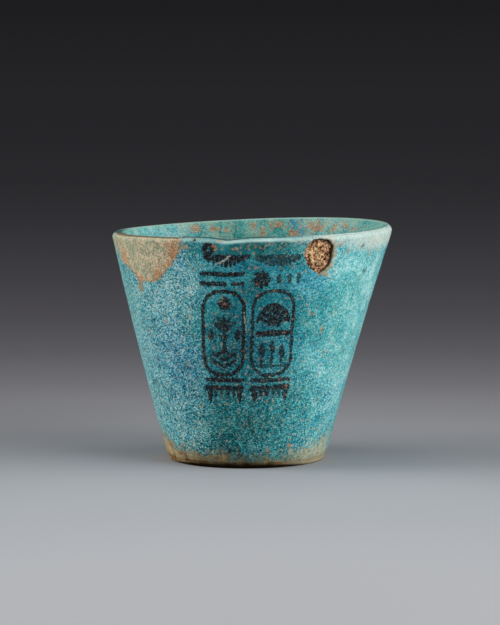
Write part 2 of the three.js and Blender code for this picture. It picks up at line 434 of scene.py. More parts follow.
def ragged(corners, reach, seed):
    """The same outline in short steps, each moved in or out a little, as a break in glaze is."""
    points = []
    for start, end in zip(corners, corners[1:] + corners[:1]):
        start, end = np.array(start, float), np.array(end, float)
        parts = max(1, math.ceil(np.linalg.norm(end - start) / RAGGED_STEP))
        points += [start + (end - start) * k / parts for k in range(parts)]
    points = np.array(points)
    flat_points = np.column_stack([points, np.zeros(len(points))])
    move = reach * (waves(flat_points, 2.2, 3, seed) + 0.5 * waves(flat_points, 0.7, 1, seed + 1))
    return points + inwards_of(points) * move[:, None]


def walled(name, rings):
    """A closed block between two rings with as many points each."""
    count = len(rings[0])
    sides = [(i, j, count + j, count + i) for i, j in zip(range(count), [*range(1, count), 0])]
    ends = [tuple(range(count))[::-1], tuple(range(count, 2 * count))]
    block = plain(made_of(name, np.concatenate(rings), sides + ends))
    block.hide_render = True
    return block


def chip_outline():
    corners = [(x * CHIP_WIDTH, CUP_HEIGHT - down * CHIP_DROP) for x, down in CHIP_OUTLINE_SHARES]
    top = [(corners[-1][0], CUP_HEIGHT + OVERRUN), (corners[0][0], CUP_HEIGHT + OVERRUN)]
    return ragged(corners + top, 1.5 * RAGGED, 4.0)


def chip_gap(points):
    """How far each point of the cone is from the chip's edge, and how far right of its middle."""
    edge = chip_outline()
    edge = edge[edge[:, 1] < CUP_HEIGHT]
    flat_places = np.stack([(azimuth_of(points) - CHIP_AZIMUTH) * RIM_RADIUS, points[:, 2]], 1)
    return np.linalg.norm(flat_places[:, None] - edge[None], axis=2).min(1), flat_places[:, 0]


def chip_block(name, inset):
    """The chip's outline carried through the wall. It goes far enough out for its flat front."""
    front = RIM_RADIUS / math.cos(CHIP_WIDTH / 2 / RIM_RADIUS) - RIM_RADIUS + OVERRUN
    points = chip_outline()
    points += inwards_of(points) * inset
    turn = CHIP_AZIMUTH + points[:, 0] / RIM_RADIUS
    rings = []
    for out in (-WALL_AT_FOOT - OVERRUN, front):
        radius = outer_radius(points[:, 1]) + out
        rings.append(np.stack([radius * np.sin(turn), -radius * np.cos(turn), points[:, 1]], 1))
    return walled(name, rings)


def on_scar(points):
    """Carries points to the scar: x along the wall to the right, y up it, and z straight out."""
    height = CUP_HEIGHT - SCAR_BELOW_RIM
    lean = math.atan(OUTER_SLOPE)
    x, y, z = np.asarray(points, float).T
    up = y * math.cos(lean) - z * math.sin(lean)
    out = y * math.sin(lean) + z * math.cos(lean) + outer_radius(height)
    sine, cosine = math.sin(SCAR_AZIMUTH), math.cos(SCAR_AZIMUTH)
    return np.stack([x * cosine + out * sine, x * sine - out * cosine, height + up], 1)


def scar_outline():
    return ragged([(x * SCAR_RADIUS, y * SCAR_RADIUS) for x, y in SCAR_OUTLINE_SHARES], RAGGED, 9.0)


def by_scar_edge(points):
    """For each point of the cone: how far right of the scar's middle, up from it and off its edge."""
    across = (azimuth_of(points) - SCAR_AZIMUTH) * outer_radius(points[:, 2])
    up = (points[:, 2] - CUP_HEIGHT + SCAR_BELOW_RIM) * math.hypot(1, OUTER_SLOPE)
    flat_places = np.stack([across, up], 1)
    return across, up, np.linalg.norm(flat_places[:, None] - scar_outline()[None], axis=2).min(1)


def scar_block(name, inset, low, high):
    points = scar_outline()
    points += inwards_of(points) * inset
    return walled(name, [on_scar([(x, y, level) for x, y in points]) for level in (low, high)])


chip_cutter = chip_block("chip_cutter", 0.0)
scar_cutter = scar_block("scar_cutter", 0.0, -SCAR_DEPTH, OVERRUN)

# Sintered quartz paste: a dull sandy body of coarse white grains, stained tan and brown by burial.
# Its grains are 0.2 to 0.5 mm, so the finest pattern is 0.5 mm long to show at all.
NOISE = "ShaderNodeTexNoise"
RAMP = "ShaderNodeValToRGB"
SMOOTH = {"interpolation_type": "SMOOTHSTEP"}
PASTE_ROUGHNESS = 0.92


def paste_look(tree, where):
    """The bare paste's colour and its relief, from 0 to 1."""
    grain, mottle = (
        add(tree, NOISE, {"Vector": where, "Scale": 1 / (size * MM), "Detail": 3.0})
        for size in (0.5, 2.6)
    )
    both = add(tree, MIX, {0: 0.55, 2: grain, 3: mottle})
    stops = [(0.32, "#43311f"), (0.42, "#7a5f3e"), (0.5, "#9f8458"), (0.6, "#b9a077"), (0.7, "#d6c6a2")]
    return add(tree, RAMP, [both], {"stops": stops}), grain


def new_finish(name):
    """A new material, its tree, its shader node and its Object coordinates."""
    material = bpy.data.materials.new(name)
    material.use_nodes = True
    tree = material.node_tree
    where = add(tree, "ShaderNodeTexCoord", out="Object")
    return material, tree, tree.nodes["Principled BSDF"], where


def fields(tree, names):
    """The sockets that read the values written on a piece's points."""
    kind = "ShaderNodeAttribute"
    return {name: add(tree, kind, (), {"attribute_name": name}, "Fac") for name in names}


def layered(tree, colour, layers):
    """Lays colours one over another, each by the product of its shares. A share is a value, or a value
    with its range from and its range to: in a list for a smooth step, in a tuple for a straight one."""
    for over, *shares in layers:
        product = 1.0
        for k, share in enumerate(shares):
            if isinstance(share, (list, tuple)):
                share = add(tree, MAP, share, SMOOTH if isinstance(share, list) else {})
            product = add(tree, MATH, [product, share], "MULTIPLY") if k else share
        colour = add(tree, MIX, {0: product, 6: colour, 7: over}, COLOUR, out=2)
    return colour


def relief(tree, shader, height, depth):
    """Links a height from 0 to 1, over a depth in millimetres, to the shader's normal."""
    bump = add(tree, "ShaderNodeBump", {"Height": height, "Distance": depth * MM, "Strength": 1.0})
    feed(tree, shader, {"Normal": bump})


paste, tree, shader, where = new_finish("sintered_quartz_paste")
colour, grain = paste_look(tree, where)
field = fields(tree, ("chalk", "soil"))
# Near-black soil with painted shadow at the foot, and painted shade on the scar's sunken wall
colour = layered(tree, colour, [("#b0ab8e", field["chalk"]), ("#060403", field["soil"])])
feed(tree, shader, {"Base Color": colour, "Roughness": PASTE_ROUGHNESS, "Specular IOR Level": 0.0})
relief(tree, shader, grain, 0.12)

HIDDEN_ROWS = (8.0, 1.2, 8.0, 6.0)
foot = [
    (0, 0, 0, 1), (FOOT_RADIUS, 0, FOOT_ROUND, 1.3), (outer_radius(BARE_FOOT), BARE_FOOT, 0, 0.35),
]
covered = skin(BARE_FOOT, GLAZE_THICKNESS + GLAZE_SEAT, HIDDEN_ROWS)
covered[0] = covered[0][:3] + (1.0,)
core = turned("core", outline(foot + covered), FINE_ANGLES, TURN_STEPS, paste)
cut(core, chip_cutter)
cut(core, scar_cutter)
cone = points_of(core)
# Painted shade darkens the scar's sunken wall, less at its lower end, and soil with a painted contact shadow
# darkens the foot's edge, most at the front
from_scar = np.linalg.norm(cone - on_scar([(0, 0, -SCAR_DEPTH / 2)]), axis=1)
above_scar_foot = cone[:, 2] - CUP_HEIGHT + SCAR_BELOW_RIM + 3.6
scar_wall_painted_shade = np.clip(8.5 - from_scar, 0, 0.62) * np.clip(above_scar_foot / 1.5, 0.35, 1)
from_middle = np.degrees(azimuth_of(cone)) + 8
dark_foot_height = 1.5 * unit(1 - (from_middle / 60) ** 2) + 0.9
foot_soil_and_shadow = np.clip((dark_foot_height - cone[:, 2]) / 1.1, 0, 0.97)
foot_soil_and_shadow = np.maximum(foot_soil_and_shadow, 0.25 + 0.55 * unit(1 - (from_middle / 55) ** 2))
write(core, {
    "soil": np.maximum(foot_soil_and_shadow, scar_wall_painted_shade), "chalk": np.clip((from_middle - 30) / 20, 0, 0.7),
})
set_points(core, handmade(uneven(cone)))
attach(core, "root")
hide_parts("faience_core")

# The glaze
# A copper-blue alkaline glaze, one thick glassy coat inside and out. In the ground its surface broke
# up into fine pale crystals over darker glass, and it wore through to the paste at the foot.

WALL_ROW = 0.4
FOOT_ROW = 0.55
FINE_FROM = 18.0
over = skin(BARE_FOOT, 0.0, (WALL_ROW, 0.25, 1.25, 1.5))
over.insert(1, (outer_radius(FINE_FROM), FINE_FROM, 0, FOOT_ROW))
under = outline(skin(BARE_FOOT, GLAZE_THICKNESS, HIDDEN_ROWS))[::-1]
glaze_finish, tree, shader, where = new_finish("weathered_copper_glaze")
glaze = turned("glaze", under + outline(over), FINE_ANGLES, TURN_STEPS, glaze_finish)
cut(glaze, chip_cutter)
cut(glaze, scar_cutter)

cone = points_of(glaze)
azimuth = azimuth_of(cone)
height = cone[:, 2]
inside = insideness(cone)
local_radius = np.where(inside > 0.5, inner_radius(height), outer_radius(height))
drift = np.stack([waves(cone, 6.0, 3, 11.0), waves(cone, 6.0, 3, 12.0)], 1)
turned_right = np.degrees(azimuth)


def patches(places, spread=1.6):
    """A sum of soft patches with drifting edges: azimuth in degrees, height, half width and half
    height in millimetres, and how strong each is."""
    total = np.zeros(len(cone))
    for turn, middle, wide, tall, strength in places:
        off = (azimuth - math.radians(turn) + math.pi) % (2 * math.pi) - math.pi
        x = (off * local_radius + spread * drift[:, 0]) / wide
        y = (height - middle + spread * drift[:, 1]) / tall
        total += strength * np.exp(-(x * x + y * y))
    return total


# Where the glaze is clouded pale (above 0) and where it is deep and clear (below 0); the dark band under the
# front of the lip and the darker front are partly painted shade, and the paler right side is partly painted
# light
tone = patches([
    (-36, 55, 13, 9, 0.12), (-27, 63, 5, 6, 0.11), (-25, 46, 4, 9, 0.04), (-64, 40, 8, 25, 0.03),
    (0, 70.5, 15, 3.2, -0.16), (0, 45, 15, 20, -0.18), (2, 16, 14, 11, -0.18), (-4, 5, 20, 5, -0.12),
    (46, 65, 14, 8, 0.19), (69, 58, 10, 16, 0.19), (44, 35, 12, 22, 0.11), (38, 17, 12, 7, -0.04),
    (70, 30, 8, 20, 0.14), (120, 50, 16, 16, 0.08), (170, 30, 20, 12, -0.08), (-130, 55, 18, 12, 0.08),
    (-160, 20, 15, 10, 0.06),
]) * (1 - inside) + 0.07 * inside
# Where it leans to blue
blue = patches([
    (-34, 33, 9, 9, 0.5), (-42, 40, 7, 8, 0.3), (-30, 66, 3, 5, 0.45), (2, 64.5, 14, 2.4, 0.3),
    (28, 60, 6, 5, 0.4), (5, 40, 12, 15, 0.25), (-52, 40, 10, 22, 0.12), (58, 48, 14, 24, -0.2),
    (100, 30, 12, 12, 0.4), (-150, 40, 14, 9, 0.4),
]) * (1 - inside)
blue += patches([(160.6, 72, 1.3, 2.0, 0.9), (155.9, 70, 1.1, 4, 1.0), (-140, 71, 9, 2, 0.35)], 0.3) * inside
# Where it leans to green
green = patches([(0, 71, 15, 2.6, 0.4), (56, 46, 16, 22, 0.22), (0, 14, 16, 8, 0.15)]) * (1 - inside)
green += 0.6 * inside
# Where iron has stained it tan and brown
stain = patches([
    (-27.2, 71.0, 1.0, 0.9, 0.95), (-56.9, 57.3, 1.6, 2.2, 1.0), (-14.8, 71.2, 0.9, 0.9, 1.1),
    (1.7, 64.6, 0.7, 0.7, 1.0), (30.9, 48.7, 0.8, 1.1, 0.9), (37.8, 43.9, 0.8, 1.1, 0.9),
    (43.5, 37.0, 0.9, 1.0, 0.9), (38.8, 70.4, 2.2, 1.4, 0.7), (43, 68.2, 0.9, 0.9, 1.0),
    (59.9, 67.9, 2.4, 2.6, 0.5), (52, 69.4, 0.6, 0.6, 1.0), (58.4, 61.2, 0.6, 1.0, 0.8),
    (-57.8, 43.4, 2.0, 3.0, 0.4), (-42.6, 47.3, 1.4, 1.4, 0.6), (29.7, 7.1, 0.9, 0.9, 1.0),
    (14.1, 6.2, 0.9, 0.9, 0.9), (44.7, 5.0, 1.6, 1.3, 0.9), (-14.5, 3.4, 2.2, 2.4, 0.9),
    (33.5, 61.8, 1.2, 1.2, 0.8), (6, 70.8, 11, 1.5, 0.52), (-55.7, 58.6, 1.5, 1.5, 1.0),
    (140, 40, 3, 4, 0.8), (-120, 62, 3, 2, 0.9),
    (-13.3, 73.3, 0.9, 0.6, 1.1), (-10.6, 73.5, 0.7, 0.5, 1.0), (-6.7, 73.3, 0.9, 0.6, 1.1),
    (-3.2, 73.4, 0.6, 0.5, 0.9), (0.3, 73.5, 0.5, 0.5, 0.9),
], 0.8) * (1 - inside)
stain += patches([
    (-152.7, 71.8, 2.2, 1.2, 1.1), (-161.8, 71.2, 1.6, 1.2, 0.9), (-169.6, 70.8, 1.5, 1.6, 0.8),
    (179, 71.1, 1.2, 1.5, 0.9), (174.5, 68.4, 1.0, 2.4, 1.3), (167.8, 71.5, 2.8, 1.0, 1.0),
    (159.9, 68.5, 1.6, 1.8, 1.0), (148.1, 71.0, 4.2, 1.8, 1.0), (137.9, 70.9, 1.2, 2.4, 1.0),
    (131.1, 71.3, 1.6, 1.0, 0.9), (124.2, 70.6, 1.8, 1.1, 0.9), (157.9, 70.7, 0.4, 4.0, 0.6),
    (30, 60, 6, 8, 0.5), (-60, 50, 8, 10, 0.5), (90, 40, 8, 14, 0.5), (-100, 66, 4, 4, 0.6),
], 0.6) * inside
# The chip and the scar lie above this height, and within these angles (in radians) of their middles
LOSSES_FROM = 56.0
CHIP_SPAN = 0.55
SCAR_SPAN = 0.25
by_chip = np.nonzero((np.abs(azimuth - CHIP_AZIMUTH) < CHIP_SPAN) & (height > LOSSES_FROM))[0]
stain[by_chip] += bell(chip_gap(cone[by_chip])[0], 0, 0.5) * (0.7 + 0.9 * drift[by_chip, 0])
stain *= 1 + 0.25 * inside
floor_dirt = unit((FLOOR_THICKNESS + FLOOR_ROUND - height) / 8.0) * inside
# Around the chip's top left corner the glaze is worn to the fill's own dull tan
beige = patches([
    (-82, 71, 8, 4.5, 1.2), (-24, 72.9, 4, 0.7, 0.7), (62, 71, 5, 2, 0.5), (46, 3.6, 8, 3.6, 0.95),
    (66, 5, 6, 4.5, 0.8),
]) * (1 - inside)
# How strong the crystals' contrast is: most on the left, little inside, hardly any under the lip
grain = 0.95 + 0.4 * unit((-18 - turned_right) / 10) * (turned_right > -90)
grain -= 0.5 * patches([(0, 55, 17, 26, 1.0)])
grain -= 0.25 * patches([(48, 62, 16, 12, 1.0), (54, 42, 16, 14, 0.7)])
grain *= 1 - 0.8 * unit(patches([(-6, 71.2, 11, 2.4, 1.4), (60, 71.6, 26, 2.4, 0.8)]))
grain = np.clip(grain, 0.1, 1.4) * (1 - inside) + 0.6 * inside

# The lip: a painted highlight line where its bevel meets the wall, a broad shoulder to the right, pale from
# wear and painted highlight, a painted highlight on the far lip, and a line of painted shade along the crest
drop = CUP_HEIGHT - height
shoulder = unit((turned_right - 12) / 22) * unit((118 - turned_right) / 20)
lower_edge = 4.2 + 3.0 * unit((turned_right - 38) / 12)
at_end = unit((turned_right - 45) / 15)
pale = 0.5 * bell(drop, 0.9, 1.0) + (0.85 + 0.15 * at_end) * unit((lower_edge - drop) / 3.0)
pale = unit(shoulder * pale) * (1 - inside)
bright_front = unit((20 - np.abs(turned_right)) / 12)
light_lip = (0.6 + 0.25 * bright_front + 0.3 * waves(cone, 5.0, 1, 15.0)) * (1 - inside)
light_lip *= 1 - 0.7 * shoulder
light_lip *= 1 - 0.3 * unit((-turned_right - 4) / 8)
light_lip *= 1 - 0.8 * bell(turned_right, -88, 12)
far_lip = 0.42 * unit((np.abs(turned_right) - 80) / 15)
dark_lip = unit((25 - turned_right) / 20) * unit((turned_right + 110) / 15)

# How high the bare, worn band at the foot climbs, by azimuth in degrees
WORN_AZIMUTHS = (-180, -150, -120, -95, -80, -66, -55, -42, -30, -15, -8, 5, 25, 38, 46, 56, 68, 90, 130, 180)
WORN_HEIGHTS = (3, 5, 3, 10.5, 10.5, 7.5, 5.0, 4.2, 3.2, 3.8, 2.4, 1.8, 1.4, 1.2, 1.8, 1.2, 1.8, 3, 5, 3)
climb = np.interp(turned_right, WORN_AZIMUTHS, WORN_HEIGHTS)
worn = (climb - height + 2.4 * waves(cone, 3.2, 3, 13.0)) / 2.4 * (1 - inside) - 4 * inside
worn = np.clip(worn, -4, 2)
# Soil and painted shade: an olive darkening low on the front of the foot
front_foot = unit(1 - ((turned_right + 4) / 50) ** 2)
soil = front_foot * unit((5.8 - height + 1.8 * waves(cone, 2.4, 3, 13.0)) / 3.4) * 0.68
thin = unit((climb + 4.0 - height) / 7.0 + 0.4 * waves(cone, 6.0, 2, 14.0)) * (1 - inside)

# The painted panel
# Black-brown manganese paint, brushed on before the firing so that it sank into the glaze: two
# upright frames of stock ornament (lotus, rosettes, leaves, chevrons) between bars and leaf garlands.

PANEL_TOP = 73.0
PANEL_NARROWS = 0.0028
PANEL_HALF_WIDTH = 18.5
PANEL_HEIGHTS = (19.0, 73.5)
BRUSH_STEP = 0.7
WAVER = 0.16
WAVER_SHIFT = 3.7
PETALS = 8
FAR_GAP = 3.0
SPOTS_AT_ONCE = 2000
strokes = []


def brush(points, width, bold=1.0, into=strokes):
    """One stroke through points (across, height), with its width along it and how black it stayed."""
    points = np.array(points, float)
    widths = np.atleast_1d(np.array(width, float))
    reach = np.concatenate([[0], np.cumsum(np.linalg.norm(np.diff(points, axis=0), axis=1))])
    steps = np.linspace(0, reach[-1], max(2, math.ceil(reach[-1] / BRUSH_STEP) + 1))
    line = np.stack([np.interp(steps, reach, points[:, k]) for k in (0, 1)], 1)
    thick = np.interp(steps / max(reach[-1], 1e-6), np.linspace(0, 1, len(widths)), widths)
    flat_line = np.column_stack([line, np.full(len(line), len(into) * WAVER_SHIFT)])
    line += WAVER * np.stack([waves(flat_line, 2.5, 2, 21.0), waves(flat_line, 2.5, 2, 22.0)], 1)
    thick = thick * (1 + 0.22 * waves(flat_line, 1.8, 2, 23.0))
    into.append((line, thick, bold))


def bow(x, z, wide, tall, start, end, count=15):
    turn = np.radians(np.linspace(start, end, count))
    return np.stack([x + wide * np.cos(turn), z + tall * np.sin(turn)], 1)


def leaf(x, z, angle, length, width, bold=1.0):
    tip = (x + length * math.cos(math.radians(angle)), z + length * math.sin(math.radians(angle)))
    brush([(x, z), tip], [width * 0.35, width, width * 0.8, 0.2], bold)


def rosette(x, z, reach):
    for k in range(PETALS):
        turn = math.radians(90 + 360 * k / PETALS)
        root = (x + 0.3 * reach * math.cos(turn), z + 0.3 * reach * math.sin(turn))
        leaf(*root, math.degrees(turn), 0.7 * reach, 0.6 * reach)
    brush(bow(x, z, 0.26 * reach, 0.26 * reach, 0, 360), 0.35 * reach)


def rounded_frame(left, right, low, high, corner, width, bold):
    turns = ((right - corner, high - corner, 0), (left + corner, high - corner, 90),
             (left + corner, low + corner, 180), (right - corner, low + corner, 270))
    path = np.concatenate([bow(x, z, corner, corner, a, a + 90, 9) for x, z, a in turns])
    brush(np.concatenate([path, path[:1]]), width, bold)


def lotus(x, z, size, bold):
    for angle in (90, 58, 122, 28, 152):
        leaf(x, z, angle, size * (1.0 if angle == 90 else 0.96), 0.34 * size, bold)
    brush(bow(x, z + 0.12 * size, 0.4 * size, 0.24 * size, 180, 360), 0.22 * size, bold)


rounded_frame(-15.3, -1.5, 30.5, 56.9, 5.6, 1.2, 1.0)
rounded_frame(1.4, 15.1, 30.4, 56.9, 5.4, 1.1, 0.95)
# The left frame: a rosette, a lotus on its stem between two buds, and chevrons
rosette(-7.9, 53.0, 2.4)
lotus(-8.0, 45.2, 4.6, 0.95)
brush([(-8.0, 45.0), (-7.8, 41.0), (-8.1, 37.6)], [1.1, 0.9, 1.1], 0.95)
for side in (-1, 1):
    brush(bow(-8.0 + side * 2.3, 40.2, 2.1, 3.2, 90 + side * 170, 90 + side * 20), [1.1, 0.9, 0.7], 0.9)
    leaf(-8.0 + side * 4.4, 41.4, 90 - side * 4, 3.6, 1.9, 0.95)
for low in (36.2, 34.0):
    brush([(-12.0, low + 1.0), (-8.1, low - 1.0), (-4.2, low + 1.0)], 1.0, 0.95)
# The right frame: a ribbed fan under two arcs, over a bar, and three buds on their stems
for k in range(-3, 4):
    turn = math.radians(90 - 22 * k)
    brush([(8.4, 46.2), (8.4 + 5.0 * math.cos(turn), 46.2 + 5.6 * math.sin(turn))], [0.6, 0.9, 1.5])
brush(bow(8.4, 46.2, 5.3, 6.2, 10, 170), [1.0, 1.5, 1.0])
brush(bow(8.4, 46.2, 1.7, 1.7, 0, 180), 1.1)
brush([(3.2, 43.6), (13.7, 43.8)], [1.5, 1.8, 1.5])
for x, top in ((4.9, 39.6), (8.4, 40.6), (11.9, 39.6)):
    brush([(x, 33.4), (x, top - 2.6)], 0.9, 0.85)
    leaf(x, top - 3.8, 90, 4.8, 2.1, 0.9)
brush([(3.6, 33.2), (13.2, 33.2)], 0.9, 0.8)
# Above: leaf garlands, two bars on the left, and a rosette with a row of dots on the right
for middle, high, bold in ((-7.6, 68.1, 1.0), (8.7, 67.8, 0.8)):
    brush([(middle - 7.0, high), (middle + 7.2, high)], [0.8, 1.2, 0.8], bold)
    for k in range(-5, 6):
        leaf(middle + 1.3 * k, high, 270, 3.5 - 0.1 * k * k, 1.7, bold)
brush(bow(-13.4, 70.2, 1.2, 1.5, 60, 400), 1.4)
leaf(-13.6, 69.2, 275, 3.2, 1.7)
brush([(-15.6, 62.5), (-2.3, 62.4)], [1.4, 1.25, 1.4])
brush([(-15.6, 59.4), (-8.0, 59.3)], [1.4, 1.3])
brush([(-5.4, 59.3), (-2.3, 59.3)], [1.2, 1.5], 0.95)
rosette(3.9, 60.5, 2.9)
for x in (9.4, 12.6, 15.8):
    leaf(x, 62.1, 270, 3.1, 1.7, 0.85)
# Below: a bar under each frame, and a row of hanging leaves
for left, right, bold in ((-14.2, -1.6, 1.0), (1.8, 14.9, 0.95)):
    brush([(left, 28.7), (right, 28.8)], [1.3, 1.6, 1.3], bold)
    brush([(left, 26.2), (right, 26.3)], [1.7, 1.4, 1.7], bold)
    for k in range(6):
        x = left + 0.9 + k * (right - left - 1.8) / 5
        end = k in (0, 5)
        leaf(x, 26.3, 270, 5.0 if end else 3.2, 1.9 if end else 1.4, bold if end else 0.85 * bold)

# Two scratches through the paint, and rusty grains in it
scratches, grains = [], []
brush([(-11.0, 65.6), (-9.2, 66.4), (-6.2, 68.4)], [0.4, 0.8, 0.6, 0.9, 0.3], 0.8, scratches)
brush([(-1.6, 50.4), (-1.0, 47.0), (-0.3, 43.2)], [0.2, 0.5, 0.2], 0.7, scratches)
for x, z, wide in (
    (-11.5, 71.2, 1.7), (-9.2, 53.8, 0.9), (-7.9, 52.8, 1.1), (2.5, 59.3, 0.8), (1.5, 64.3, 0.7),
    (2.7, 55.5, 0.9), (-11.4, 39.1, 0.8), (11.6, 29.0, 0.8), (12.3, 43.6, 0.9), (14.2, 26.6, 1.0),
    (14.5, 23.6, 0.9), (6.1, 24.2, 0.9), (-14.6, 46.0, 0.7), (-1.5, 38.0, 0.7), (8.0, 56.8, 0.8),
    (-10.0, 26.4, 0.8),
):
    brush([(x - 0.3 * wide, z), (x + 0.3 * wide, z + 0.2)], 0.6 * wide, 1.0, grains)


def gap_to(lines, spots):
    """How far each spot is from the edge of the nearest stroke, and how bold that stroke is."""
    starts = np.concatenate([line[:-1] for line, _, _ in lines])
    ends = np.concatenate([line[1:] for line, _, _ in lines])
    start_half = np.concatenate([thick[:-1] for _, thick, _ in lines]) / 2
    end_half = np.concatenate([thick[1:] for _, thick, _ in lines]) / 2
    bolds = np.concatenate([np.full(len(line) - 1, bold) for line, _, bold in lines])
    runs = ends - starts
    squares = np.maximum((runs**2).sum(1), 1e-9)
    gaps, found = [], []
    for part in np.array_split(spots, max(1, len(spots) // SPOTS_AT_ONCE)):
        off = part[:, None] - starts[None]
        along = unit((off * runs[None]).sum(2) / squares)
        apart = np.linalg.norm(off - along[..., None] * runs[None], axis=2)
        gap = apart - (start_half + (end_half - start_half) * along)
        gaps.append(np.minimum(gap.min(1), FAR_GAP))
        found.append(bolds[gap.argmin(1)])
    return np.concatenate(gaps), np.concatenate(found)


narrowed = 1 - PANEL_NARROWS * (PANEL_TOP - height)
panel = np.stack([azimuth * outer_radius(height) / narrowed, height], 1)
in_panel = (np.abs(panel[:, 0]) < PANEL_HALF_WIDTH) & (height > PANEL_HEIGHTS[0])
near = np.nonzero(in_panel & (height < PANEL_HEIGHTS[1]) & (inside < 0.5))[0]
brush_gap, scratch_gap, grain_gap = np.full((3, len(cone)), FAR_GAP)
boldness = np.ones(len(cone))
brush_gap[near], boldness[near] = gap_to(strokes, panel[near])
scratch_gap[near] = gap_to(scratches, panel[near])[0]
grain_gap[near] = gap_to(grains, panel[near])[0]

# Small pits that burst bubbles left: a real hollow where the mesh is fine enough to hold it
PITS = [(-23.1, 72.8, 0.5, 0.35), (-11.3, 6.0, 0.6, 0.4), (52, 69.4, 0.6, 0.3), (58.4, 61.2, 0.7, 0.35)]
pitted = np.zeros(len(cone))
for turn, middle, wide, deep in PITS:
    off = (azimuth - math.radians(turn)) * local_radius
    pitted += deep * np.exp(-((off**2 + (height - middle) ** 2) / wide**2)) * (inside < 0.5)
# The scar's broken edge is painted dark as shade on the side away from the light
by_scar = (np.abs(azimuth - SCAR_AZIMUTH) < SCAR_SPAN) & (height > LOSSES_FROM) & (inside < 0.5)
by_scar = np.nonzero(by_scar)[0]
across, up, scar_gap = by_scar_edge(cone[by_scar])
far_side = unit((across + 0.35 * up) / SCAR_RADIUS)
right_side = unit((across + 0.5) / 2.0)
pit_and_edge_darkening = pitted * 3
painted_scar_edge_shade = 1.4 * far_side * np.clip((up + 3.6) / 1.5, 0.2, 1) * unit((0.6 - scar_gap) / 0.4)
pit_and_edge_darkening[by_scar] += np.minimum(painted_scar_edge_shade, 0.62)
stain[by_scar] += 1.4 * right_side * bell(scar_gap, 0.2, 0.45)
beige[by_scar] += 2.0 * far_side * bell(scar_gap, 1.0, 0.5)
worn_step = 0.2 * unit(worn)
values = dict(
    tone=tone, blue=blue, green=green, stain=stain, worn=worn, thin=thin, inside=inside, beige=beige,
    pale=pale, drop=drop, light_lip=light_lip, dark_lip=dark_lip, far_lip=far_lip, grain=grain, soil=soil,
    dirt=floor_dirt, brush_gap=brush_gap, boldness=boldness, scratch_gap=scratch_gap,
    grain_gap=grain_gap, pit=unit(pit_and_edge_darkening),
)
write(glaze, values)
set_points(glaze, handmade(uneven(cone, worn_step + pitted)))

# Weathered alkaline glaze: glass of IOR 1.5 whose skin turned to crystals, so that it shines softly.
# The crystals are 0.3 to 0.6 mm across, and the tone drifts over 4 to 15 mm.
CRYSTAL = 0.26
GLAZE_IOR = 1.5
CLAMPED = {"use_clamp": True}

field = fields(tree, values)
cells = add(tree, "ShaderNodeTexVoronoi", {"Vector": where, "Scale": 1 / (CRYSTAL * MM)}, out="Color")
cell = add(tree, "ShaderNodeSeparateColor", [cells]).node.outputs
clump, patch, cloud, crumbs, blur = (
    add(tree, NOISE, {"Vector": where, "Scale": 1 / (size * MM), "Detail": detail})
    for size, detail in ((0.85, 2.0), (4.5, 3.0), (15.0, 2.0), (1.1, 4.0), (0.7, 2.0))
)
clump_off, patch_off, cloud_off, rust_off, bare_off, edge_off = (
    add(tree, MAP, [pattern, 0.3, 0.7, -reach, reach])
    for pattern, reach in (
        (clump, 0.13), (patch, 0.09), (cloud, 0.06), (crumbs, 0.6), (crumbs, 0.8), (blur, 0.28)
    )
)
rust_at, beige_at, bare_at, paint_at, grain_at, scratch_at = (
    add(tree, MATH, [field[name], off])
    for name, off in (
        ("stain", rust_off), ("beige", rust_off), ("worn", bare_off), ("brush_gap", edge_off),
        ("grain_gap", edge_off), ("scratch_gap", edge_off),
    )
)

# How light each spot is: the local tone with its painted light and shade, drifting, then the crystals' own
# contrast
speckle = add(tree, MAP, [cell["Red"], 0.0, 1.0, -0.33, 0.33])
speckle = add(tree, MATH, [speckle, clump_off])
speckle = add(tree, MATH, [speckle, field["grain"]], "MULTIPLY")
light = add(tree, MATH, [field["tone"], 0.5])
for part in (patch_off, cloud_off, speckle):
    light = add(tree, MATH, [light, part])

